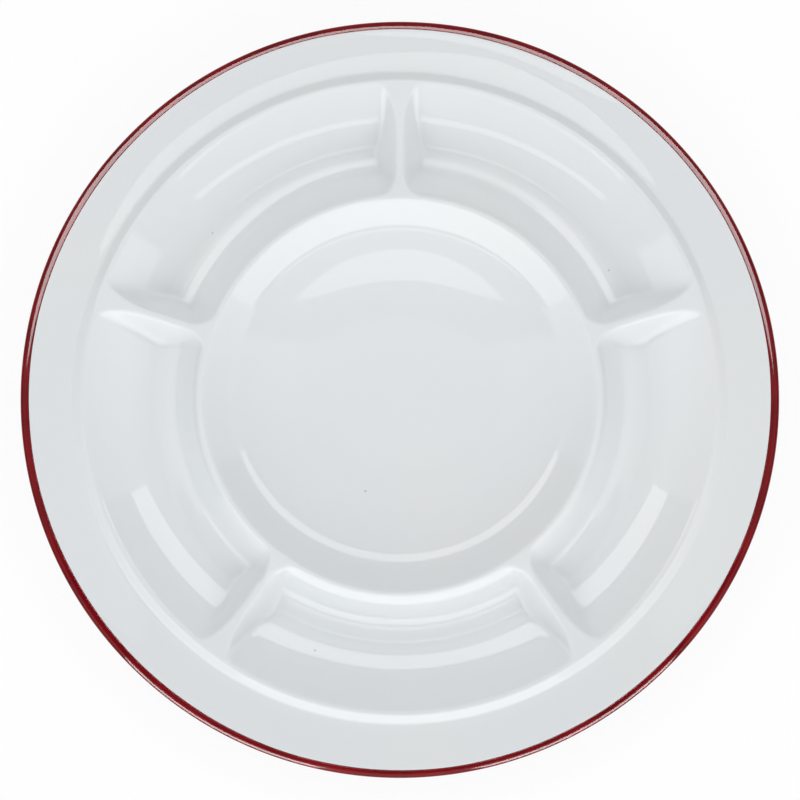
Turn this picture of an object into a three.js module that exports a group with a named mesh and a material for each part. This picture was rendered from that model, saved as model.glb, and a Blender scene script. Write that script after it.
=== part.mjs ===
// A fondue plate in two pieces: the glazed ceramic body, with its central well, its ring of sauce
// compartments and its flange, and the red enamel band that is fired onto the lip of the rim.
// Millimetres, +Z up. The origin is on the table under the plate's centre, and +Y runs along the
// middle of one divider.

import * as THREE from 'three';

// Heights, from the table upwards
const FOOT_HEIGHT = 3.4; // table to the underside of the compartments
const CENTRE_CLEARANCE = 3.2; // table to the underside of the central floor
const FLOOR_THICKNESS = 4.8; // ceramic under the central floor and the compartments
const BEAD_HEIGHT = 11.3; // compartment floor to the crest of the bead
const RING_HEIGHT = 12.5; // compartment floor to the crest of the ring round the central well
const DIVIDER_HEIGHT = 10.1; // compartment floor to the crest of a divider
const BEAD_STEP = 2; // fall from the bead's crest to the inner end of the flange
const FLANGE_RISE = 0.8; // climb of the flange from the bead to the lip
const LIP_RISE = 0.3; // how far the lip stands out of the flange, above and below

// Widths, from the rim inwards
const PLATE_DIAMETER = 260;
const LIP_RADIUS = 2.4; // round section of the rim's edge
const FLANGE_WIDTH = 18.3; // rim's edge to the outer foot of the bead
const BEAD_FLANK = 4; // outer slope of the bead
const OUTER_WALL_RUN = 21.2; // bead's crest to the compartment floor
const FLOOR_WIDTH = 0.8; // flat of the compartment floor
const INNER_WALL_RUN = 18; // compartment floor to the ring's crest
const CENTRE_WALL_RUN = 38.8; // ring's crest to the flat of the central floor

// Roundness of the walls: how far the surface stays near level before it turns
const BEAD_EASE = 1.6;
const RING_INNER_EASE = 3.2; // on the side of the central well
const RING_OUTER_EASE = 3.4; // on the side of the compartments
const OUTER_FOOT_EASE = 5;
const INNER_FOOT_EASE = 9.9;
const CENTRE_FOOT_EASE = 29.4;
const UNDER_EASE = 5;

// Dividers
const COMPARTMENT_COUNT = 5;
const DIVIDER_CREST_RADIUS = 3;
const DIVIDER_FLANK_SLOPE = 1.3; // rise over run
const DIVIDER_FILLET = 8.6; // depth over which a divider melts into floor and walls
const DIVIDER_END_BLEND = 4.2; // stretch next to ring and bead where a divider fades out

// Underside
const WALL_SHIFT = 2.6; // how far the underside of the outer wall ends outside the bead's crest
const FOOT_WIDTH = 3.6; // standing face of the foot ring
const FOOT_DRAFT = 1.2; // slope of each side of the foot ring
const FOOT_SHOULDER = 1.2; // level strip on each side of the foot ring
const RING_GROOVE_DEPTH = 8.6; // hollow under the ring's crest
const RING_GROOVE_RUN = 27; // slope of the underside from the central floor up to that hollow
const DIVIDER_GROOVE_DEPTH = 4; // hollow under each divider
const DIVIDER_GROOVE_RADIUS = 3;
const DIVIDER_GROOVE_SLOPE = 1;
const DIVIDER_GROOVE_FILLET = 3;
const DIVIDER_GROOVE_BLEND = 6;

// Enamel band
const BAND_THICKNESS = 0.5;
const BAND_GAP = 0.3; // clearance between the band and its seat on the lip
const BAND_TOP_REACH = 4.1; // along the lip, from its outermost line over the top
const BAND_UNDER_REACH = 2.2; // along the lip, from its outermost line underneath

// Facets
const STATIONS_PER_HALF = 10; // between the middle of a divider and the middle of a compartment
const STATION_CROWDING = 1.8; // power that draws the stations towards the dividers
const CENTRE_WALL_STEPS = 8;
const TOP_WALL_STEPS = 6;
const UNDER_WALL_STEPS = 3;
const FLANGE_STEPS = 4;
const FLANK_STEPS = 2;
const LIP_TOP_STEPS = 3;
const LIP_UNDER_STEPS = 2;

// Radii worked out from the widths
const plateRadius = PLATE_DIAMETER / 2;
const beadFootRadius = plateRadius - FLANGE_WIDTH;
const beadRadius = beadFootRadius - BEAD_FLANK;
const floorOuterRadius = beadRadius - OUTER_WALL_RUN;
const floorInnerRadius = floorOuterRadius - FLOOR_WIDTH;
const ringRadius = floorInnerRadius - INNER_WALL_RUN;
const centreFloorRadius = ringRadius - CENTRE_WALL_RUN;
const footRadius = (floorOuterRadius + floorInnerRadius) / 2;
const footInnerRadius = footRadius - FOOT_WIDTH / 2 - FOOT_DRAFT;
const footOuterRadius = footRadius + FOOT_WIDTH / 2 + FOOT_DRAFT;

// Levels worked out from the heights
const floorLevel = FOOT_HEIGHT + FLOOR_THICKNESS;
const centreLevel = CENTRE_CLEARANCE + FLOOR_THICKNESS;
const beadLevel = floorLevel + BEAD_HEIGHT;
const ringLevel = floorLevel + RING_HEIGHT;
const flangeLevel = beadLevel - BEAD_STEP;
const flangeThickness = 2 * (LIP_RADIUS - LIP_RISE);
const lipLevel = flangeLevel + FLANGE_RISE + LIP_RISE - LIP_RADIUS;

const stationCount = 2 * STATIONS_PER_HALF * COMPARTMENT_COUNT;

function point(radius, level) {
  return new THREE.Vector2(radius, level);
}

// S-shaped wall from one level end to another, each end with its own roundness.
function wallPoints(start, end, startEase, endEase, steps) {
  const run = Math.abs(end.x - start.x);
  const direction = Math.sign(end.x - start.x);
  const leave = point(start.x + direction * Math.min(startEase, run), start.y);
  const arrive = point(end.x - direction * Math.min(endEase, run), end.y);
  return new THREE.CubicBezierCurve(start, leave, arrive, end).getPoints(steps);
}

// Half of the rim's outline, from the lip's outermost line inwards: over the lip and along the
// flange to the bead (side +1), or under the lip and along the flange's underside (side -1).
function rimOutline(side) {
  const turn = Math.PI / 2 + Math.acos((LIP_RADIUS - LIP_RISE) / LIP_RADIUS);
  const centre = point(plateRadius - LIP_RADIUS, lipLevel);
  const outline = new THREE.Path();
  outline.absarc(centre.x, centre.y, LIP_RADIUS, 0, side * turn, side < 0);
  const flangeMiddle = (centre.x + beadFootRadius) / 2;
  if (side > 0) {
    outline.quadraticCurveTo(flangeMiddle, flangeLevel, beadFootRadius, flangeLevel);
  } else {
    const underLevel = flangeLevel - flangeThickness;
    outline.quadraticCurveTo(flangeMiddle, underLevel, beadRadius + WALL_SHIFT, underLevel);
  }
  return { outline, side, length: outline.getLength() };
}

// Point on the rim's outline at a distance along it, sunk straight into the body by a depth.
function rimPoint(rim, reach, depth) {
  const share = reach / rim.length;
  const tangent = rim.outline.getTangent(share);
  const outward = point(tangent.y, -tangent.x).multiplyScalar(rim.side);
  return rim.outline.getPoint(share).addScaledVector(outward, -depth);
}

function rimPoints(rim, start, end, depth, steps) {
  const points = [];
  for (let step = 0; step <= steps; step += 1) {
    points.push(rimPoint(rim, start + (end - start) * (step / steps), depth));
  }
  return points;
}

// Bare part of the rim's outline, from the band inwards, with its points drawn towards the lip.
function barePoints(rim, start) {
  const points = [];
  for (let step = 0; step <= FLANGE_STEPS; step += 1) {
    const share = (step / FLANGE_STEPS) ** 2;
    points.push(rimPoint(rim, start + (rim.length - start) * share, 0));
  }
  return points;
}

const topRim = rimOutline(1);
const underRim = rimOutline(-1);

// Underside of the plate from the axis out to the flange.
function undersidePoints() {
  const centreEdge = point(ringRadius - RING_GROOVE_RUN, CENTRE_CLEARANCE);
  const grooveTop = point(ringRadius, FOOT_HEIGHT + RING_GROOVE_DEPTH);
  const grooveEdge = point(footInnerRadius - FOOT_SHOULDER, FOOT_HEIGHT);
  const wallFoot = point(footOuterRadius + FOOT_SHOULDER, FOOT_HEIGHT);
  const wallTop = point(beadRadius + WALL_SHIFT, flangeLevel - flangeThickness);
  return [
    point(0, CENTRE_CLEARANCE),
    ...wallPoints(centreEdge, grooveTop, UNDER_EASE, UNDER_EASE, UNDER_WALL_STEPS),
    ...wallPoints(grooveTop, grooveEdge, UNDER_EASE, UNDER_EASE, UNDER_WALL_STEPS).slice(1),
    point(footInnerRadius, FOOT_HEIGHT),
    point(footRadius - FOOT_WIDTH / 2, 0),
    point(footRadius + FOOT_WIDTH / 2, 0),
    point(footOuterRadius, FOOT_HEIGHT),
    ...wallPoints(wallFoot, wallTop, UNDER_EASE, UNDER_EASE, UNDER_WALL_STEPS).slice(0, -1),
  ];
}

// Rim from the underside of the flange, round the seat of the band, to the foot of the bead.
function rimSeatPoints() {
  const depth = BAND_THICKNESS + BAND_GAP;
  const underEnd = BAND_UNDER_REACH + BAND_GAP;
  const topEnd = BAND_TOP_REACH + BAND_GAP;
  return [
    ...barePoints(underRim, underEnd).reverse(),
    ...rimPoints(underRim, underEnd, 0, depth, LIP_UNDER_STEPS),
    ...rimPoints(topRim, 0, topEnd, depth, LIP_TOP_STEPS).slice(1),
    ...barePoints(topRim, topEnd),
  ];
}

// Top of the plate from the bead in to the axis, midway between two dividers.
function topPoints() {
  const bead = point(beadRadius, beadLevel);
  const floorOuter = point(floorOuterRadius, floorLevel);
  const floorInner = point(floorInnerRadius, floorLevel);
  const ring = point(ringRadius, ringLevel);
  const centreEdge = point(centreFloorRadius, centreLevel);
  const flankFoot = point(beadFootRadius, flangeLevel);
  const flankEase = BEAD_FLANK / 2;
  return [
    ...wallPoints(flankFoot, bead, flankEase, flankEase, FLANK_STEPS).slice(1),
    ...wallPoints(bead, floorOuter, BEAD_EASE, OUTER_FOOT_EASE, TOP_WALL_STEPS).slice(1),
    ...wallPoints(floorInner, ring, INNER_FOOT_EASE, RING_OUTER_EASE, TOP_WALL_STEPS),
    ...wallPoints(ring, centreEdge, RING_INNER_EASE, CENTRE_FOOT_EASE, CENTRE_WALL_STEPS).slice(1),
    point(0, centreLevel),
  ];
}

// The larger of two heights, rounded off where they come within the fillet of each other.
function meltedMaximum(first, second, fillet) {
  const overlap = Math.max(fillet - Math.abs(first - second), 0);
  return Math.max(first, second) + overlap ** 2 / (4 * fillet);
}

// Height of a ridge at a distance from its middle line: round at the crest, straight on the flanks.
function ridgeHeight(distance, height, crestRadius, slope) {
  const bend = crestRadius * slope;
  return height - slope * (Math.hypot(distance, bend) - bend);
}

function easedStep(value) {
  const clamped = Math.min(Math.max(value, 0), 1);
  return clamped * clamped * (3 - 2 * clamped);
}

// Distance from the middle line of the nearest divider.
function distanceFromDivider(radius, angle) {
  const spacing = (2 * Math.PI) / COMPARTMENT_COUNT;
  const offset = angle - spacing * Math.round(angle / spacing);
  return Math.abs(radius * Math.sin(offset));
}

// Level of the top with the dividers, which fade out at the ring and at the bead.
function dividedTop(radius, level, angle) {
  if (radius <= ringRadius || radius >= beadRadius) {
    return level;
  }
  const distance = distanceFromDivider(radius, angle);
  const ridge = ridgeHeight(distance, DIVIDER_HEIGHT, DIVIDER_CREST_RADIUS, DIVIDER_FLANK_SLOPE);
  const melted = meltedMaximum(level, floorLevel + ridge, DIVIDER_FILLET);
  const ringEnd = easedStep((radius - ringRadius) / DIVIDER_END_BLEND);
  const beadEnd = easedStep((beadRadius - radius) / DIVIDER_END_BLEND);
  return level + ringEnd * beadEnd * (melted - level);
}

// Level of the underside with a shallow groove under each divider, between the ring and the foot.
function groovedUnderside(radius, level, angle) {
  if (radius <= ringRadius || radius >= footInnerRadius) {
    return level;
  }
  const distance = distanceFromDivider(radius, angle);
  const depth = DIVIDER_GROOVE_DEPTH;
  const ridge = ridgeHeight(distance, depth, DIVIDER_GROOVE_RADIUS, DIVIDER_GROOVE_SLOPE);
  const melted = meltedMaximum(level, FOOT_HEIGHT + ridge, DIVIDER_GROOVE_FILLET);
  const ringEnd = easedStep((radius - ringRadius) / DIVIDER_GROOVE_BLEND);
  const footEnd = easedStep((footInnerRadius - radius) / DIVIDER_GROOVE_BLEND);
  return level + ringEnd * footEnd * (melted - level);
}

function sameLevel(radius, level) {
  return level;
}

// Angle of a station, counted from the middle of a divider and crowded towards the dividers.
function stationAngle(station) {
  const halfSector = Math.PI / COMPARTMENT_COUNT;
  const divider = Math.round(station / (2 * STATIONS_PER_HALF));
  const share = station / STATIONS_PER_HALF - 2 * divider;
  const crowded = Math.sign(share) * Math.abs(share) ** STATION_CROWDING;
  return halfSector * (2 * divider + crowded);
}

// Carries a section round the axis. Each part of the section has its points and the rule that
// gives a point's level at an angle.
function carryRound(parts) {
  const section = parts.flatMap((part) => part.points.map((at) => ({ at, levelAt: part.levelAt })));
  const geometry = new THREE.LatheGeometry(section.map((entry) => entry.at), stationCount);
  const position = geometry.attributes.position;
  for (let station = 0; station <= stationCount; station += 1) {
    const angle = stationAngle(station % stationCount);
    section.forEach(({ at, levelAt }, index) => {
      const level = levelAt(at.x, at.y, angle);
      const vertex = station * section.length + index;
      position.setXYZ(vertex, -at.x * Math.sin(angle), at.x * Math.cos(angle), level);
    });
  }
  geometry.computeVertexNormals();
  return geometry;
}

function plateBody() {
  const geometry = carryRound([
    { points: undersidePoints(), levelAt: groovedUnderside },
    { points: rimSeatPoints(), levelAt: sameLevel },
    { points: topPoints(), levelAt: dividedTop },
  ]);
  const material = new THREE.MeshStandardMaterial({ color: 0xe6eaec, roughness: 0.1, metalness: 0 });
  const mesh = new THREE.Mesh(geometry, material);
  mesh.name = 'plate_body';
  return mesh;
}

function rimBand() {
  const outer = [
    ...rimPoints(underRim, BAND_UNDER_REACH, 0, 0, LIP_UNDER_STEPS),
    ...rimPoints(topRim, 0, BAND_TOP_REACH, 0, LIP_TOP_STEPS).slice(1),
  ];
  const inner = [
    ...rimPoints(topRim, BAND_TOP_REACH, 0, BAND_THICKNESS, LIP_TOP_STEPS),
    ...rimPoints(underRim, 0, BAND_UNDER_REACH, BAND_THICKNESS, LIP_UNDER_STEPS).slice(1),
  ];
  const geometry = carryRound([{ points: [...outer, ...inner, outer[0]], levelAt: sameLevel }]);
  const material = new THREE.MeshStandardMaterial({ color: 0x8c1c24, roughness: 0.15, metalness: 0 });
  const mesh = new THREE.Mesh(geometry, material);
  mesh.name = 'rim_band';
  return mesh;
}

const fonduePlate = new THREE.Group();
fonduePlate.add(plateBody(), rimBand());

export default fonduePlate;
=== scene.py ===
# %% [markdown]
# # A fondue plate, dressed in Blender
# The plate is one piece of white ceramic: a dished well in the middle for the food, five sauce
# compartments round it, and a wide flange with a red enamel band on its rim. The imported solids
# already have the right shape and size, so this lesson only gives them a finer surface, the glaze,
# the enamel and the light of a small studio. First the solids are loaded as a fixed frame. The
# dressed plate must not outgrow it.

# %% Load the frame
import math

import bmesh
import bpy
import numpy as np
from mathutils import Matrix, Vector


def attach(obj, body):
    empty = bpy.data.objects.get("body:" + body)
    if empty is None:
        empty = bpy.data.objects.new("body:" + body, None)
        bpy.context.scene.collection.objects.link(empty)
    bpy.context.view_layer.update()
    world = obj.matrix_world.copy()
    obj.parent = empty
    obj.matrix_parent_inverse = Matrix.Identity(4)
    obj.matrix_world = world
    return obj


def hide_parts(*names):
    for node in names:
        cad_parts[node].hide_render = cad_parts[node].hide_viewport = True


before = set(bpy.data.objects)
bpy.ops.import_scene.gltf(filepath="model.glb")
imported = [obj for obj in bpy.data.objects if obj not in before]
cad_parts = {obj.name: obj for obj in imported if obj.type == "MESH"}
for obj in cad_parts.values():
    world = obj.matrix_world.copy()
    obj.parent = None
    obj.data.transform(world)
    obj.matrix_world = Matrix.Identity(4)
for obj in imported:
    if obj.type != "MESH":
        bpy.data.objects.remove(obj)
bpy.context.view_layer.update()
print("nodes:", sorted(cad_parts))

# %% [markdown]
# ## The section of the plate
# A plate like this is pressed on a turning mould, so nearly all of it is one section carried round
# the axis. The section could be drawn as a row of points, but a glossy glaze shows slopes and not
# heights: a wall that is wrong by one degree moves its highlight by a millimetre. So the section is
# written down as slopes, one row for each part of the wall, and the heights follow by adding up.
# Radii are in millimetres and slopes in degrees, positive where the surface climbs outwards.

# %% Slopes of the upper surface
RING_RADIUS = 67.9
FLOOR_RADIUS = 85.6
BEAD_RADIUS = 108.35

CENTRE_SLOPES = [
    (0, 0), (19, 0), (25, 1.6), (30, 4.2), (34, 6.6), (38, 9.4), (42, 12.1), (46, 14.4),
    (50, 16.1), (54, 18.2), (57, 23.3), (60, 30.2), (62.9, 34.5), (64.7, 35.5), (66.1, 34.2),
    (67.1, 31.8)]
INNER_WALL_SLOPES = [
    (RING_RADIUS, 0), (68.7, -28.5), (69.7, -35.5), (70.9, -41.8), (72.3, -45.9), (73.9, -47),
    (75.9, -43), (77.4, -31), (78.5, -21.8), (79.6, -20.3), (81.2, -18.8), (83.6, -14.3)]
OUTER_WALL_SLOPES = [
    (FLOOR_RADIUS, 0), (87.0, 10), (88.5, 20), (90.8, 22.6), (92.8, 24.3), (94.8, 25.4),
    (96.8, 26.7), (98.8, 28.1), (100.8, 28.5), (104.7, 29.1), (106.3, 28.3), (107.5, 27)]
BEAD_SLOPES = [(BEAD_RADIUS, 0), (109.15, -31.8), (110.15, -31.5), (111.5, -30.5), (112.3, -3)]
FLANGE_SLOPES = [(113.2, -1), (115, -0.4), (118, 0), (127, 0.2)]
SECTION_SLOPES = np.concatenate([
    CENTRE_SLOPES, INNER_WALL_SLOPES, OUTER_WALL_SLOPES, BEAD_SLOPES, FLANGE_SLOPES])
print("section:", len(SECTION_SLOPES), "slopes")

# %% Heights from the slopes
FLANGE_LEVEL = 17.5
LEVEL_KNOWN_AT = 116.0
FINE_STEP = 0.02
SOFTENING = 0.75


def add_up_slopes(slopes):
    """Heights along the section.

    The tangent of the slope runs straight from one row of the table to the next. It is averaged
    over a short sliding window, which rounds the kinks off, and its running sum times the step is
    the height. The whole curve is then lifted so that the flange lies on its level.
    """
    radii = np.arange(0, slopes[-1, 0] + FINE_STEP / 2, FINE_STEP)
    tangents = np.interp(radii, slopes[:, 0], np.tan(np.radians(slopes[:, 1])))
    window = np.hanning(int(SOFTENING / FINE_STEP) | 1)
    padded = np.pad(tangents, len(window) // 2, mode="edge")
    soft = np.convolve(padded, window / window.sum(), mode="valid")
    heights = np.concatenate([[0], np.cumsum((soft[1:] + soft[:-1]) / 2 * FINE_STEP)])
    return radii, heights + FLANGE_LEVEL - np.interp(LEVEL_KNOWN_AT, radii, heights)


SECTION_RADII, SECTION_LEVELS = add_up_slopes(SECTION_SLOPES)


def section_level(radius):
    """Height of the section at a radius, straight between the fine steps."""
    return np.interp(radius, SECTION_RADII, SECTION_LEVELS)


for name, radius in [("well", 0), ("ring", RING_RADIUS), ("floor", FLOOR_RADIUS),
                     ("bead", BEAD_RADIUS), ("flange", LEVEL_KNOWN_AT)]:
    print(f"{name}: radius {radius} mm, level {section_level(radius):.2f} mm")

# %% [markdown]
# ## The dividers
# Five low dividers cut the trough round the well into sauce compartments. On the plate each
# compartment is a pocket with round corners, and what stands between two pockets is a narrow land
# that runs from the ring to the bead and widens at both ends. A boolean of five bars would leave
# sharp joints there. Here the wall and the divider's flank each say how deep the pocket is, as a
# share between nothing and one. The two shares are put together so that the pocket's corners come
# out round: tight at the steep inner wall and wide at the gentle outer one.

# %% Smooth steps and bends
COMPARTMENTS = 5


def eased(value):
    """Smooth step: three times the square less twice the cube, of a value held in 0 to 1."""
    held = np.clip(value, 0, 1)
    return held * held * (3 - 2 * held)


def soft_maximum(first, second, rounding):
    """The larger of two values, with a parabola round the bend where they come close."""
    overlap = np.maximum(rounding - np.abs(first - second), 0)
    return np.maximum(first, second) + overlap ** 2 / (4 * rounding)


def from_divider(radius, angle):
    """Distance from the middle of the nearest divider: the radius times the sine of the angle."""
    spacing = 2 * np.pi / COMPARTMENTS
    return radius * np.sin(angle - spacing * np.round(angle / spacing))


print(f"dividers: {COMPARTMENTS}, {360 / COMPARTMENTS:.0f} degrees apart")

# %% Height of the top anywhere on the plate
RING_LEVEL, FLOOR_LEVEL, BEAD_LEVEL = section_level([RING_RADIUS, FLOOR_RADIUS, BEAD_RADIUS])
LAND_SAG = 1.1
CREST_HALF_WIDTH = 0.2
CREST_ROUNDING = 2.0
FLANK_STEEPNESS = 0.22
FOOT_ROUNDING = 0.8
EDGE_ROUNDING = 0.1
RING_CORNER_POWER = 2.6
BEAD_CORNER_POWER = 2.1
TINY = 1e-9


def land_level(radius):
    """Crest of a divider: a straight line from the ring to the bead that sags in its middle.

    The sag is the square of one less the fourth power of the way from the middle to an end.
    """
    along = np.clip((radius - RING_RADIUS) / (BEAD_RADIUS - RING_RADIUS), 0, 1)
    line = RING_LEVEL + (BEAD_LEVEL - RING_LEVEL) * along
    return line - LAND_SAG * (1 - (2 * along - 1) ** 4) ** 2


def flank_share(distance):
    """Share of the depth at a distance from the middle of a divider.

    It leaves the flat crest as a hyperbola and is held at one, with a parabola round the bend.
    """
    beside = np.maximum(np.abs(distance) - CREST_HALF_WIDTH, 0)
    climb = FLANK_STEEPNESS * (np.hypot(beside, CREST_ROUNDING) - CREST_ROUNDING)
    return -soft_maximum(-climb, -1, FOOT_ROUNDING)


def pocket_share(wall, flank, power):
    """Share of the depth where a wall and a flank meet.

    What the two leave standing is raised to a power, added, and the root taken: the lower the
    power, the rounder the pocket's corner. Where the sum is more than the whole, the land is left
    standing, with a small round edge.
    """
    share = 1 - ((1 - wall) ** power + (1 - flank) ** power) ** (1 / power)
    return soft_maximum(share, 0, EDGE_ROUNDING * (1 - flank) + TINY)


def top_level(radius, angle):
    """Level of the section, but between ring and bead the land less the depth of a pocket."""
    level, land = section_level(radius), land_level(radius)
    wall = np.clip((land - level) / (land - FLOOR_LEVEL), 0, 1)
    flank = flank_share(from_divider(radius, angle))
    power = np.where(radius < FLOOR_RADIUS, RING_CORNER_POWER, BEAD_CORNER_POWER)
    pocket = land - (land - FLOOR_LEVEL) * pocket_share(wall, flank, power)
    in_trough = (radius > RING_RADIUS) & (radius < BEAD_RADIUS)
    return np.where(in_trough, pocket, level + 0 * angle)


print(f"crest of a divider: {float(top_level(FLOOR_RADIUS, 0.0)):.2f} mm above the table")

# %% [markdown]
# ## Carrying the section round
# The rest of the section is the rounded lip, the underside of the flange, the outer wall and the
# foot ring. It is joined to the top in one long row of points that starts on the axis above and
# ends on the axis below. Spinning that row gives a grid, radius by angle, and the dividers then
# lift the grid's points. The angles crowd towards the dividers, where the surface turns fast.

# %% Top and lip of the section
RIM_RADIUS = 130.0
LIP_START = 126.5
LIP_HEIGHT = 1.9
LIP_LEVEL = float(section_level(LIP_START)) - LIP_HEIGHT
LIP_POINTS = 17
ENAMEL_FILM = 0.06
TOP_STOPS = [(0, 0), (20, 2), (34, 4), (42, 4), (52, 6), (58, 7), (65.9, 13), (69.7, 19), (78, 18),
             (84, 8), (92, 12), (107, 27), (112.6, 22), (115, 3), (LIP_START, 4)]


def spread(stops):
    """Radii between stops, each stop given with the number of even steps that lead up to it."""
    rows = [np.array([stops[0][0]], float)]
    for (low, _), (high, steps) in zip(stops[:-1], stops[1:]):
        rows.append(np.linspace(low, high, steps + 1)[1:])
    return np.concatenate(rows)


def lip_points(turn, film):
    """Half ellipse round the rim: a turn of 90 degrees is its top, 0 its outermost line."""
    reach = RIM_RADIUS - ENAMEL_FILM - LIP_START + film
    rise = LIP_HEIGHT + film
    return np.stack([LIP_START + reach * np.cos(turn), LIP_LEVEL + rise * np.sin(turn)], -1)


top_radii = spread(TOP_STOPS)
lip = lip_points(np.radians(np.linspace(90, -90, LIP_POINTS)), 0)
print(f"section: {len(top_radii)} points on top, {len(lip)} on the lip")

# %% Underside of the section
FOOT_RADIUS = 86.1
FOOT_WIDTH = 3.6
FOOT_DRAFT = 1.2
FOOT_SHOULDER = 1.2
FOOT_HEIGHT = 3.4
FOOT_EDGE = 0.3
FOOT_BEVEL = 0.2
WELL_CLEARANCE = 3.2
UNDER_EASE = 5.0
GROOVE_TOP = 12.0
GROOVE_RUN = 27.0
FLANGE_UNDERSIDE = 13.3
WALL_SHIFT = 2.6


def s_wall(start, end, count):
    """Cubic curve between two points that leaves and arrives level, as a row of points."""
    share = np.linspace(0, 1, count)[:, None]
    left = 1 - share
    ease = np.array([math.copysign(UNDER_EASE, end[0] - start[0]), 0])
    a, d = np.array(start, float), np.array(end, float)
    b, c = a + ease, d - ease
    return left ** 3 * a + 3 * left ** 2 * share * b + 3 * left * share ** 2 * c + share ** 3 * d


foot_inner = FOOT_RADIUS - FOOT_WIDTH / 2
foot_outer = FOOT_RADIUS + FOOT_WIDTH / 2
wall_top = (BEAD_RADIUS + WALL_SHIFT, FLANGE_UNDERSIDE)
wall_foot = (foot_outer + FOOT_DRAFT + FOOT_SHOULDER, FOOT_HEIGHT)
groove_edge = (foot_inner - FOOT_DRAFT - FOOT_SHOULDER, FOOT_HEIGHT)
groove_top = (RING_RADIUS, GROOVE_TOP)
well_edge = (RING_RADIUS - GROOVE_RUN, WELL_CLEARANCE)
foot_ring = [
    (foot_outer + FOOT_DRAFT, FOOT_HEIGHT - FOOT_BEVEL), (foot_outer + FOOT_EDGE, FOOT_BEVEL),
    (foot_outer, 0), (foot_inner, 0),
    (foot_inner - FOOT_EDGE, FOOT_BEVEL), (foot_inner - FOOT_DRAFT, FOOT_HEIGHT - FOOT_BEVEL)]
underside = np.concatenate([
    s_wall(lip[-1], wall_top, 6)[1:],
    s_wall(wall_top, wall_foot, 9)[1:],
    foot_ring,
    s_wall(groove_edge, groove_top, 10),
    s_wall(groove_top, well_edge, 8)[1:],
    [(0, WELL_CLEARANCE)],
])
print(f"section: {len(underside)} points underneath")

# %% Hollows under the dividers
HOLLOW_DEPTH = 4.0
HOLLOW_ROUNDING = 3.0
HOLLOW_FILLET = 3.0
HOLLOW_BLEND = 6.0


def hollowed(radius, level, angle):
    """Level of the underside, raised under each divider so that the clay there isn't too thick.

    Across the divider the hollow is a ridge with a hyperbola for its round top. The higher of the
    ridge and the plain underside is taken, with a parabola round the bend, and smooth steps fade
    the ridge out towards the ring and the foot.
    """
    slope = np.hypot(from_divider(radius, angle), HOLLOW_ROUNDING) - HOLLOW_ROUNDING
    raised = soft_maximum(level, FOOT_HEIGHT + HOLLOW_DEPTH - slope, HOLLOW_FILLET)
    from_ring = eased((radius - RING_RADIUS) / HOLLOW_BLEND)
    from_foot = eased((foot_inner - FOOT_DRAFT - radius) / HOLLOW_BLEND)
    return level + from_ring * from_foot * (raised - level)


print(f"hollows under the dividers: {HOLLOW_DEPTH} mm deep")

# %% Angles and faces of a grid
STEPS_PER_HALF = 48
NEAR_SHARE = 0.44
NEAR_SPAN = 7.0


def crowded_angles():
    """Angles once round the axis, with small even steps near each divider, larger ones between."""
    half = 180 / COMPARTMENTS
    share = np.linspace(-1, 1, 2 * STEPS_PER_HALF, endpoint=False)
    offset = np.sign(share) * np.interp(np.abs(share), [0, NEAR_SHARE, 1], [0, NEAR_SPAN, half])
    return np.radians(2 * half * np.arange(COMPARTMENTS)[:, None] + offset).ravel()


def grid_mesh(name, points):
    """Mesh from a grid of points that closes round the axis.

    Each face joins a point with its neighbour in the row and with the two points after them.
    """
    index = np.arange(points.shape[0] * points.shape[1]).reshape(points.shape[:2])
    beside = np.roll(index, -1, axis=1)
    quads = np.stack([index[:-1], index[1:], beside[1:], beside[:-1]], -1).reshape(-1, 4)
    mesh = bpy.data.meshes.new(name)
    mesh.from_pydata((points / 1000).reshape(-1, 3).tolist(), [], quads.tolist())
    mesh.polygons.foreach_set("use_smooth", np.ones(len(mesh.polygons), bool))
    mesh.update()
    return mesh


angles = crowded_angles()
print("angles round the axis:", len(angles))

# %% The glazed plate
rest = np.concatenate([lip[1:], underside])
radii = np.concatenate([top_radii, rest[:, 0]])[:, None]
levels = np.concatenate([top_level(top_radii[:, None], angles[None, :]),
                         hollowed(rest[:, :1], rest[:, 1:], angles[None, :])])
points = np.stack([radii * np.sin(angles), radii * np.cos(angles), levels], -1)
plate_mesh = grid_mesh("glazed_plate", points)
plate = bpy.data.objects.new("glazed_plate", plate_mesh)
bpy.context.collection.objects.link(plate)
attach(plate, "root")
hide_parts("plate_body")
print(f"glazed plate: {points.shape[0]} rows of {points.shape[1]} points")

# %% [markdown]
# ## The enamel band
# The band is painted by hand while the plate turns, and then fired. It is a film a few hundredths
# of a millimetre thick that wraps the lip, and its inner edge wanders by a few tenths. A colour
# border in the glaze would be quicker, but it would have no edge of its own. So the film is a thin
# closed shell: its outer face follows the lip, its edges taper to nothing, and a few slow waves
# move the edge.

# %% Edges of the band
BAND_WIDTH = 3.04
BAND_UNDER_TURN = -48.0
UNDER_WANDER = 6
EDGE_WAVES = [(1, 0.117, 0.45), (2, 0.154, -2.45), (3, 0.03, 0.13), (4, 0.08, -2.01),
              (5, 0.08, -1.78), (13, 0.03, 1.9), (29, 0.015, 4.0)]
BAND_STEPS = 900


def waves(angle, table):
    """Sum of cosines round the rim, each with its number of waves, its height and its start."""
    return sum(height * np.cos(count * angle + start) for count, height, start in table)


band_angles = np.linspace(0, 2 * np.pi, BAND_STEPS, endpoint=False)
edge_radius = RIM_RADIUS - BAND_WIDTH - waves(band_angles, EDGE_WAVES)
edge_share = np.clip((edge_radius - LIP_START) / (RIM_RADIUS - LIP_START), -1, 1)
start_turn = np.arccos(edge_share)
end_turn = np.radians(BAND_UNDER_TURN + UNDER_WANDER * waves(band_angles, EDGE_WAVES[2:]))
print(f"band: edge between radius {edge_radius.min():.2f} and {edge_radius.max():.2f} mm")

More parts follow.
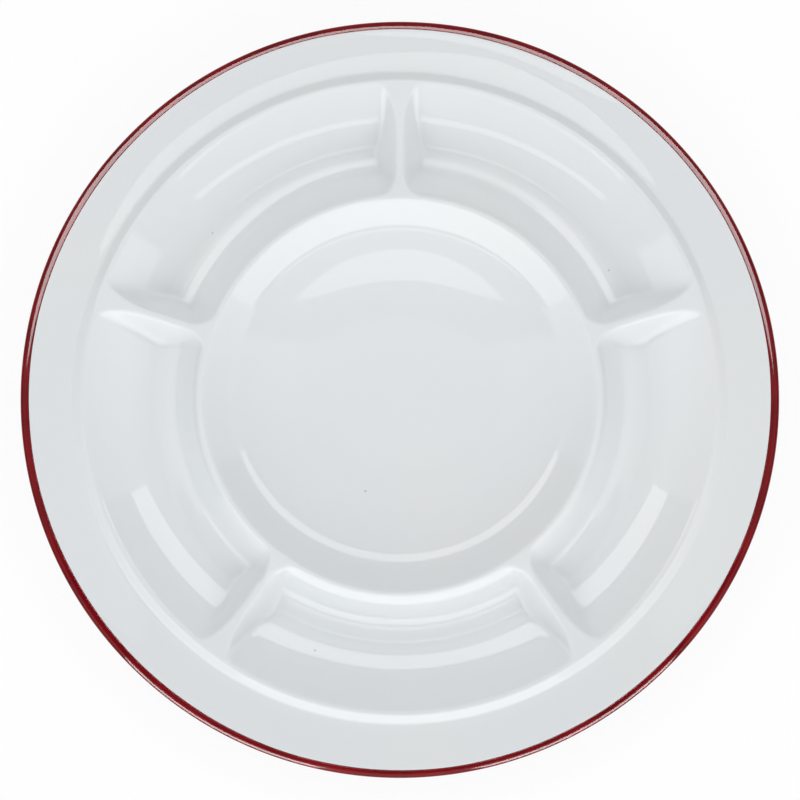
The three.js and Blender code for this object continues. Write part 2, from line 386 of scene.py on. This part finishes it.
# %% Band round the lip
FILM_CLEARANCE = 0.004
TAPER_SHARE = 0.12
ACROSS_STEPS = 26

across = np.linspace(0, 1, ACROSS_STEPS)[:, None]
turns = start_turn + (end_turn - start_turn) * across
taper = np.sqrt(np.clip(np.minimum(across, 1 - across) / TAPER_SHARE, 0, 1))
outer_face = lip_points(turns, FILM_CLEARANCE + (ENAMEL_FILM - FILM_CLEARANCE) * taper)
inner_face = lip_points(turns, FILM_CLEARANCE)[-2:0:-1]
loop = np.concatenate([outer_face, inner_face, outer_face[:1]])
band_radii, band_levels = loop[..., 0], loop[..., 1]
band_points = np.stack([band_radii * np.sin(band_angles), band_radii * np.cos(band_angles),
                        band_levels], -1)
band_mesh = grid_mesh("enamel_band", band_points)
band = bpy.data.objects.new("enamel_band", band_mesh)
bpy.context.collection.objects.link(band)
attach(band, "root")
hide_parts("rim_band")
print(f"enamel band: {band_points.shape[0]} rows of {band_points.shape[1]} points")

# %% [markdown]
# ## Closing the seams
# The first and the last row of the plate's grid lie on the axis, so all the points of such a row
# are in one place, and the band's loop ends where it began. Points in one place are merged. The
# faces are turned outwards in one go, which also settles on which side the shader finds the
# outside.

# %% Merge and turn outwards
MERGE_DISTANCE = 1e-7


def close_and_turn(mesh):
    """Merges points that lie on each other and points every face outwards."""
    work = bmesh.new()
    work.from_mesh(mesh)
    bmesh.ops.remove_doubles(work, verts=work.verts, dist=MERGE_DISTANCE)
    bmesh.ops.recalc_face_normals(work, faces=work.faces)
    open_edges = sum(not edge.is_manifold for edge in work.edges)
    triangles = len(work.calc_loop_triangles())
    volume = work.calc_volume(signed=True) * 1e6
    work.to_mesh(mesh)
    work.free()
    print(f"{mesh.name}: {triangles} triangles, {open_edges} open edges, {volume:.2f} cm3")


close_and_turn(plate_mesh)
close_and_turn(band_mesh)

# %% [markdown]
# ## The glaze
# Fired glaze is a clear glass over white clay. Up close it isn't quite even: it runs in slow waves
# when it melts, it has a fine orange peel, its tint drifts a little, and here and there an iron
# speck or a pinhole stays in it. One shader with a clear gloss gives the glass, noise on the
# piece's own coordinates gives the rest, and the waves go into the normal only, because they are
# far too low to model.

# %% Helpers for materials
def new_material(name):
    material = bpy.data.materials.new(name)
    material.use_nodes = True
    return material, material.node_tree.nodes, material.node_tree.links


def noise(nodes, links, coordinates, scale, detail):
    texture = nodes.new("ShaderNodeTexNoise")
    texture.inputs["Scale"].default_value = scale
    texture.inputs["Detail"].default_value = detail
    links.new(coordinates, texture.inputs["Vector"])
    return texture.outputs["Fac"]


def remap(nodes, links, value, from_low, from_high, to_low, to_high):
    node = nodes.new("ShaderNodeMapRange")
    node.inputs["From Min"].default_value = from_low
    node.inputs["From Max"].default_value = from_high
    node.inputs["To Min"].default_value = to_low
    node.inputs["To Max"].default_value = to_high
    links.new(value, node.inputs["Value"])
    return node.outputs["Result"]


def blend_colour(nodes, links, share, first, second):
    """Mix of two colours. Each colour is a tuple or the output of another node."""
    node = nodes.new("ShaderNodeMix")
    node.data_type = "RGBA"
    links.new(share, node.inputs["Factor"])
    for colour, socket in ((first, node.inputs[6]), (second, node.inputs[7])):
        if isinstance(colour, tuple):
            socket.default_value = (*colour, 1)
        else:
            links.new(colour, socket)
    return node.outputs[2]


def bump(nodes, links, height, depth):
    node = nodes.new("ShaderNodeBump")
    node.inputs["Distance"].default_value = depth
    links.new(height, node.inputs["Height"])
    return node


# %% Tint and specks of the glaze
GLASS_IOR = 1.5
GLAZE_COOL = (0.720, 0.753, 0.775)
GLAZE_WARM = (0.738, 0.759, 0.768)
DRIFT_SCALE = 14
SPECK = (0.30, 0.27, 0.25)
SPECK_STRENGTH = 0.6
SPECK_CORE = 0.3
SPECKS_MM = [(-65.0, 57.0, 0.42), (72.5, 44.0, 0.42), (-11.9, -32.5, 0.55), (-29.0, -87.1, 0.5)]

white_glaze, nodes, links = new_material("white_glaze")
glaze = nodes["Principled BSDF"]
glaze.inputs["IOR"].default_value = GLASS_IOR
place = nodes.new("ShaderNodeTexCoord").outputs["Object"]
split = nodes.new("ShaderNodeSeparateXYZ")
links.new(place, split.inputs[0])
flat = nodes.new("ShaderNodeCombineXYZ")
for axis in ("X", "Y"):
    links.new(split.outputs[axis], flat.inputs[axis])

drift = remap(nodes, links, noise(nodes, links, place, DRIFT_SCALE, 3), 0.35, 0.65, 0, 1)
colour = blend_colour(nodes, links, drift, GLAZE_COOL, GLAZE_WARM)
for x, y, size in SPECKS_MM:
    away = nodes.new("ShaderNodeVectorMath")
    away.operation = "DISTANCE"
    links.new(flat.outputs[0], away.inputs[0])
    away.inputs[1].default_value = (x / 1000, y / 1000, 0)
    core, edge = SPECK_CORE * size / 1000, size / 1000
    dot = remap(nodes, links, away.outputs["Value"], core, edge, SPECK_STRENGTH, 0)
    colour = blend_colour(nodes, links, dot, colour, SPECK)
print("specks in the glaze:", len(SPECKS_MM))

# %% Painted shade on the flange, bare clay on the foot
SHADE_FROM, SHADE_TO = 0.104, 0.116
FLANGE_SHADE = 0.18
SHADE_GREY = (0.62, 0.64, 0.64)
CLAY = (0.80, 0.75, 0.68)
CLAY_GRAIN_SCALE = 900
BARE_BELOW, GLAZED_ABOVE = 0.00015, 0.0006

# Painted shade: from a radius of 104 mm to 116 mm the glaze colour is blended a little towards
# grey, and everything further out stays that grey, which paints the flange darker than the well.
reach = nodes.new("ShaderNodeVectorMath")
reach.operation = "LENGTH"
links.new(flat.outputs[0], reach.inputs[0])
flange_shade_share = remap(nodes, links, reach.outputs["Value"], SHADE_FROM, SHADE_TO, 0, FLANGE_SHADE)
colour = blend_colour(nodes, links, flange_shade_share, colour, SHADE_GREY)

bare = remap(nodes, links, split.outputs["Z"], BARE_BELOW, GLAZED_ABOVE, 1, 0)
grain = remap(nodes, links, noise(nodes, links, place, CLAY_GRAIN_SCALE, 4), 0.3, 0.7, 0.75, 1)
clay = nodes.new("ShaderNodeMix")
clay.data_type = "RGBA"
clay.blend_type = "MULTIPLY"
clay.inputs["Factor"].default_value = 1
clay.inputs[6].default_value = (*CLAY, 1)
links.new(grain, clay.inputs[7])
colour = blend_colour(nodes, links, bare, colour, clay.outputs[2])
links.new(colour, glaze.inputs["Base Color"])
print("bare clay below", 1000 * BARE_BELOW, "mm")

# %% Gloss, runs and peel
GLOSS_SCALE, GLOSS_LOW, GLOSS_HIGH = 60, 0.012, 0.03
CLAY_ROUGHNESS = 0.85
RUN_SCALE, RUN_DEPTH = 28, 0.00004
PEEL_SCALE, PEEL_DEPTH = 420, 0.0000015

patches = noise(nodes, links, place, GLOSS_SCALE, 2)
gloss = remap(nodes, links, patches, 0.3, 0.7, GLOSS_LOW, GLOSS_HIGH)
dull = nodes.new("ShaderNodeMix")
links.new(bare, dull.inputs["Factor"])
links.new(gloss, dull.inputs[2])
dull.inputs[3].default_value = CLAY_ROUGHNESS
links.new(dull.outputs[0], glaze.inputs["Roughness"])

runs = bump(nodes, links, noise(nodes, links, place, RUN_SCALE, 1), RUN_DEPTH)
peel = bump(nodes, links, noise(nodes, links, place, PEEL_SCALE, 1), PEEL_DEPTH)
links.new(runs.outputs["Normal"], peel.inputs["Normal"])
links.new(peel.outputs["Normal"], glaze.inputs["Normal"])
plate_mesh.materials.append(white_glaze)
print("white glaze:", len(nodes), "nodes")

# %% [markdown]
# ## The enamel
# The red is a fired enamel: deep where the film is thick, brighter where the brush left it thin. A
# painted gradient would show the same stroke everywhere, so the strokes are noise on the piece's
# own coordinates. The enamel mirrors less than the glaze, and its ripples are finer and steeper.

# %% Red enamel
ENAMEL_THICK = (0.135, 0.003, 0.005)
ENAMEL_THIN = (0.20, 0.006, 0.010)
ENAMEL_MIRROR = 0.12
STROKE_SCALE = 70
SHEEN_SCALE, SHEEN_LOW, SHEEN_HIGH = 240, 0.04, 0.09
RIPPLE_SCALE, RIPPLE_DEPTH = 160, 0.00003

red_enamel, nodes, links = new_material("red_enamel")
enamel = nodes["Principled BSDF"]
enamel.inputs["IOR"].default_value = GLASS_IOR
enamel.inputs["Specular IOR Level"].default_value = ENAMEL_MIRROR
place = nodes.new("ShaderNodeTexCoord").outputs["Object"]
strokes = remap(nodes, links, noise(nodes, links, place, STROKE_SCALE, 3), 0.35, 0.7, 0, 1)
colour = blend_colour(nodes, links, strokes, ENAMEL_THICK, ENAMEL_THIN)
links.new(colour, enamel.inputs["Base Color"])
patches = noise(nodes, links, place, SHEEN_SCALE, 2)
sheen = remap(nodes, links, patches, 0.3, 0.7, SHEEN_LOW, SHEEN_HIGH)
links.new(sheen, enamel.inputs["Roughness"])
ripple = bump(nodes, links, noise(nodes, links, place, RIPPLE_SCALE, 2), RIPPLE_DEPTH)
links.new(ripple.outputs["Normal"], enamel.inputs["Normal"])
band_mesh.materials.append(red_enamel)
print("red enamel:", len(nodes), "nodes")

# %% [markdown]
# ## The floor
# The plate lies on white paper. Paper under soft light never quite reaches white in a render, so
# for the camera, and for what the gloss mirrors, most of it shines with a strength of 1 by itself.
# The rest is plain matt paper, which keeps the plate's shadow.

# %% Sheet of paper
PAPER_HALF = 6.0

paper_mesh = bpy.data.meshes.new("paper_floor")
corners = PAPER_HALF * np.array([(-1, -1, 0), (1, -1, 0), (1, 1, 0), (-1, 1, 0)], float)
paper_mesh.from_pydata(corners, [], [(0, 1, 2, 3)])
paper_floor = bpy.data.objects.new("paper_floor", paper_mesh)
bpy.context.collection.objects.link(paper_floor)
print("paper floor:", 2 * PAPER_HALF, "m wide")

# %% White paper
PAPER = (0.93, 0.93, 0.93)
PAPER_SHINE = 0.88

paper, nodes, links = new_material("white_paper")
nodes.remove(nodes["Principled BSDF"])
matt = nodes.new("ShaderNodeBsdfDiffuse")
matt.inputs["Color"].default_value = (*PAPER, 1)
shine = nodes.new("ShaderNodeEmission")
path = nodes.new("ShaderNodeLightPath")
seen = path.outputs["Is Camera Ray"]
for ray in ("Is Glossy Ray", "Is Transmission Ray"):
    either = nodes.new("ShaderNodeMath")
    either.operation = "MAXIMUM"
    links.new(seen, either.inputs[0])
    links.new(path.outputs[ray], either.inputs[1])
    seen = either.outputs[0]
part = nodes.new("ShaderNodeMath")
part.operation = "MULTIPLY"
part.inputs[1].default_value = PAPER_SHINE
links.new(seen, part.inputs[0])
mixed = nodes.new("ShaderNodeMixShader")
links.new(part.outputs[0], mixed.inputs["Fac"])
links.new(matt.outputs[0], mixed.inputs[1])
links.new(shine.outputs[0], mixed.inputs[2])
links.new(mixed.outputs[0], nodes["Material Output"].inputs["Surface"])
paper_mesh.materials.append(paper)
print("paper shines by itself:", PAPER_SHINE)

# %% [markdown]
# ## The light
# The bright shapes in the glaze are mirror images of the studio: a long bent strip behind the
# plate, and in front of it an umbrella of which only the lower half shows, a thin strip and a
# bright wall. Area lamps are flat rectangles, and a bent strip or half a circle can't be made of
# one. So each light is a piece of a large sphere round the plate that shines by itself. Its place
# is given as the angle from straight up and the bearing round the plate, with 0 to the back and 90
# to the right.

# %% Pieces of a large sphere
SPHERE_RADIUS = 25.0
PANEL_ROWS = 4
PANEL_COLUMNS = 31


def shining_grid(name, grid, strength):
    """Open sheet through a grid of points, which shines and which the camera doesn't see."""
    index = np.arange(grid.shape[0] * grid.shape[1]).reshape(grid.shape[:2])
    quads = np.stack([index[:-1, :-1], index[:-1, 1:], index[1:, 1:], index[1:, :-1]], -1)
    mesh = bpy.data.meshes.new(name)
    mesh.from_pydata(grid.reshape(-1, 3).tolist(), [], quads.reshape(-1, 4).tolist())
    glow, nodes, links = new_material(name)
    nodes.remove(nodes["Principled BSDF"])
    shine = nodes.new("ShaderNodeEmission")
    shine.inputs["Strength"].default_value = strength
    links.new(shine.outputs[0], nodes["Material Output"].inputs["Surface"])
    mesh.materials.append(glow)
    piece = bpy.data.objects.new(name, mesh)
    bpy.context.collection.objects.link(piece)
    piece.visible_camera = False
    return piece


def panel(name, tilts, bearings, strength):
    """Piece of a large sphere between two tilts from the zenith and two bearings.

    A tilt may be a number or a function of the bearing in degrees.
    """
    bearing = np.linspace(*bearings, PANEL_COLUMNS)[None, :]
    first, last = (
        np.broadcast_to(t(bearing) if callable(t) else t, bearing.shape) for t in tilts)
    tilt = np.radians(first + (last - first) * np.linspace(0, 1, PANEL_ROWS)[:, None])
    turn = np.radians(bearing) + 0 * tilt
    grid = np.stack([np.sin(tilt) * np.sin(turn), np.sin(tilt) * np.cos(turn), np.cos(tilt)], -1)
    print(f"{name}: strength {strength}")
    return shining_grid(name, SPHERE_RADIUS * grid, strength)


# %% Bent strip behind the plate
STRIP_SPAN = 64.4
STRIP_STRENGTH = 3.3


def strip_inner(bearing):
    """Inner edge of the bent strip: a parabola that opens towards its ends."""
    return 38.7 + 4.1 * (bearing / STRIP_SPAN) ** 2


def strip_outer(bearing):
    """Outer edge of the bent strip, a little wider towards its ends."""
    return 47.5 + 2.3 * eased((np.abs(bearing) / STRIP_SPAN - 0.2) / 0.5)


panel("back_strip", (strip_inner, strip_outer), (-STRIP_SPAN, STRIP_SPAN), STRIP_STRENGTH)

# %% Umbrella in front
FRONT = 180
UMBRELLA_RADIUS = 0.47
UMBRELLA_CUT = 0.265
UMBRELLA_TILT = math.degrees(math.atan(UMBRELLA_RADIUS))
UMBRELLA_SPAN = math.degrees(math.acos(UMBRELLA_CUT / UMBRELLA_RADIUS))
UMBRELLA_STRENGTH = 1.52


def in_front(span):
    """Bearings from one side of the front to the other."""
    return FRONT - span, FRONT + span


def umbrella_cut(bearing):
    """Straight edge of the umbrella, as it lies on a plane one unit above the plate."""
    return np.degrees(np.arctan(UMBRELLA_CUT / np.cos(np.radians(bearing - FRONT))))


panel("front_umbrella", (umbrella_cut, UMBRELLA_TILT), in_front(UMBRELLA_SPAN), UMBRELLA_STRENGTH)

# %% [markdown]
# ## The wall in front
# Below the umbrella hangs a thin strip, and below that a bright wall reaches down to the table. Low
# down at both sides the wall is dimmer. The photograph's view hardly shows that part, but seen from
# behind at a flat angle, the flange would mirror it and turn to glare.

# %% Thin strip and bright wall
PARABOLA_SPAN = 60
FRONT_STRIP_WIDTH = 2.3
FRONT_STRIP_SPAN = 50.6
FRONT_STRIP_STRENGTH = 1.7
WALL_SPAN = 64
WALL_MIDDLE = 32
WALL_FOOT = 66
WALL_STRENGTH = 2.35
WALL_LOW_STRENGTH = 2.6
WALL_SIDE_STRENGTH = 1.05
HORIZON = 89.5


def front_strip_inner(bearing):
    """Upper edge of the thin strip in front: a parabola that bends down towards its ends."""
    return 40.3 + 5.4 * ((bearing - FRONT) / PARABOLA_SPAN) ** 2


def front_strip_outer(bearing):
    """Lower edge of the thin strip, everywhere as far below the upper one."""
    return front_strip_inner(bearing) + FRONT_STRIP_WIDTH


def front_wall_top(bearing):
    """Upper edge of the bright wall: a flatter parabola below the strip."""
    return 48.0 + 3.0 * ((bearing - FRONT) / PARABOLA_SPAN) ** 2


panel("front_strip", (front_strip_inner, front_strip_outer), in_front(FRONT_STRIP_SPAN),
      FRONT_STRIP_STRENGTH)
panel("front_wall", (front_wall_top, WALL_FOOT), in_front(WALL_SPAN), WALL_STRENGTH)
panel("front_low", (WALL_FOOT, HORIZON), in_front(WALL_MIDDLE), WALL_LOW_STRENGTH)
for name, side in (("right", -1), ("left", 1)):
    bearings = (FRONT + side * WALL_MIDDLE, FRONT + side * WALL_SPAN)
    panel(f"{name}_low", (WALL_FOOT, HORIZON), bearings, WALL_SIDE_STRENGTH)

# %% [markdown]
# ## The dim rest of the room
# A glaze also mirrors what isn't a lamp: the ceiling, the side walls and the far wall. Without them
# the flats would look like black glass between the highlights. They are panels too, much weaker
# than the lamps, and where none hangs, the world's even grey fills in.

# %% Ceiling, sides and far wall
CEILING_FROM = 14
SIDE_FROM = 43
SIDE_TO = 72
CEILING_STRENGTH = 0.82
SIDE_STRENGTH = 1.25
AMBIENT = 0.21

panel("overhead", (0, CEILING_FROM), (-100, 100), 0.54)
panel("back_ceiling", (CEILING_FROM, strip_inner), (-STRIP_SPAN, STRIP_SPAN), CEILING_STRENGTH)
panel("back_low", (strip_outer, SIDE_TO), (-STRIP_SPAN, STRIP_SPAN), 0.7)
panel("back_horizon", (SIDE_TO, HORIZON), (-60, 60), 0.45)
for name, side in (("right", 1), ("left", -1)):
    ceiling_bearings = (side * STRIP_SPAN, side * 105)
    panel(f"{name}_ceiling", (CEILING_FROM, SIDE_FROM), ceiling_bearings, CEILING_STRENGTH)
    side_bearings = (side * STRIP_SPAN, side * 116)
    panel(f"{name}_side", (SIDE_FROM, SIDE_TO), side_bearings, SIDE_STRENGTH)

world = bpy.data.worlds.new("dim_room")
bpy.context.scene.world = world
world.use_nodes = True
world.node_tree.nodes["Background"].inputs["Strength"].default_value = AMBIENT
print("light from everywhere else:", AMBIENT)

# %% [markdown]
# ## Cards above the far rim
# On the far half of the flat flange lie two pale patches with sharp edges: a long one along the
# bead and a short one near the rim. A far light can't draw edges so sharp on so flat a face, so
# they are mirror images of something close, such as the edge of a diffuser. Two narrow cards hang
# above the rim for them. Only mirrors show them: they cast no shadow and light nothing else.

# %% Two narrow cards
CARD_LEVEL = 62.5
CARD_STRENGTH = 2.2
CARD_ROWS = 3
CARD_COLUMNS = 61
LONG_CARD = {"bearings": [-75, -60, -45, -15, 0, 15, 30, 45, 60], "inner": [118] * 9,
             "outer": [118.7, 124.1, 126.6, 127.8, 128.75, 130.6, 128.5, 125.0, 120.5]}
SHORT_CARD = {"bearings": [-6, 0, 15, 27, 33, 36],
              "inner": [138.2, 135, 133.5, 132.7, 134, 138.2], "outer": [138.5] * 6}


def rim_card(name, bearings, inner, outer):
    """Card above the rim whose inner and outer radius run straight between the given bearings."""
    bearing = np.linspace(bearings[0], bearings[-1], CARD_COLUMNS)
    first, last = (np.interp(bearing, bearings, row) for row in (inner, outer))
    reach = first + (last - first) * np.linspace(0, 1, CARD_ROWS)[:, None]
    turn = np.radians(bearing) + 0 * reach
    grid = np.stack([reach * np.sin(turn), reach * np.cos(turn), CARD_LEVEL + 0 * reach], -1)
    card = shining_grid(name, grid / 1000, CARD_STRENGTH)
    card.visible_diffuse = False
    card.visible_shadow = False


rim_card("long_card", **LONG_CARD)
rim_card("short_card", **SHORT_CARD)
print("cards hang", CARD_LEVEL, "mm above the table")

# %% [markdown]
# ## Lamps for the enamel
# The photograph squeezes its brightest tones, so a highlight on white glaze hardly shows while the
# same light makes the dark red enamel shine pink. One light can't do both here. Three lamps are
# therefore linked to the band alone, as a photographer would put a small lamp on an edge: one
# behind the plate and two in front of it.

# %% Three lamps for the band
LAMP_DISTANCE = 3.0
BACK_LAMP = {"tilt": 28, "bearing": 0, "width": 6.0, "height": 2.0, "radiance": 32.0}
FRONT_LAMP = {"tilt": 75, "width": 1.9, "height": 1.4, "radiance": 38.0}
FRONT_LAMP_SPREAD = 31

enamel_only = bpy.data.collections.new("enamel_only")
enamel_only.objects.link(band)


def rim_lamp(name, tilt, bearing, width, height, radiance):
    """Flat lamp that only the enamel mirrors, aimed at the plate from a tilt and a bearing."""
    lamp_data = bpy.data.lights.new(name, "AREA")
    lamp_data.shape = "RECTANGLE"
    lamp_data.size = width
    lamp_data.size_y = height
    lamp_data.energy = radiance * math.pi * width * height
    lamp = bpy.data.objects.new(name, lamp_data)
    bpy.context.collection.objects.link(lamp)
    tilt, bearing = math.radians(tilt), math.radians(bearing)
    level = math.sin(tilt)
    away = Vector((level * math.sin(bearing), level * math.cos(bearing), math.cos(tilt)))
    turned = away.to_track_quat("Z", "Y").to_matrix().to_4x4()
    lamp.matrix_world = Matrix.Translation(LAMP_DISTANCE * away) @ turned
    lamp.visible_camera = False
    lamp.visible_diffuse = False
    lamp.light_linking.receiver_collection = enamel_only
    print(f"{name}: {lamp_data.energy:.0f} W")


rim_lamp("back_rim_lamp", **BACK_LAMP)
rim_lamp("right_rim_lamp", bearing=FRONT - FRONT_LAMP_SPREAD, **FRONT_LAMP)
rim_lamp("left_rim_lamp", bearing=FRONT + FRONT_LAMP_SPREAD, **FRONT_LAMP)

# %% [markdown]
# ## The camera
# The photograph looks almost straight down from a little in front of the plate. Its tilt shows in
# the far walls, which are seen more than the near ones, and its distance in how much the walls
# lean. The lens follows from the distance, because the rim has to fill the same width of the
# picture.

# %% Camera above the plate
CAMERA_DISTANCE = 0.8485
CAMERA_TILT = math.radians(4.52)
RIM_SHARE = 759.0 / 800
SENSOR = 36.0
AIM = Vector((0.05, -1.63, 16.0)) / 1000

camera_data = bpy.data.cameras.new("photo_camera")
camera_data.sensor_width = SENSOR
camera_data.lens = SENSOR * RIM_SHARE * CAMERA_DISTANCE / (2 * RIM_RADIUS / 1000)
camera = bpy.data.objects.new("photo_camera", camera_data)
bpy.context.collection.objects.link(camera)
back = Vector((0, -math.sin(CAMERA_TILT), math.cos(CAMERA_TILT)))
right = Vector((1, 0, 0))
turned = Matrix((right, back.cross(right), back)).transposed().to_4x4()
camera.matrix_world = Matrix.Translation(AIM + CAMERA_DISTANCE * back) @ turned
bpy.context.scene.camera = camera
bpy.context.scene.view_settings.view_transform = "Standard"
print(f"camera: {camera_data.lens:.1f} mm lens, {CAMERA_DISTANCE} m away")
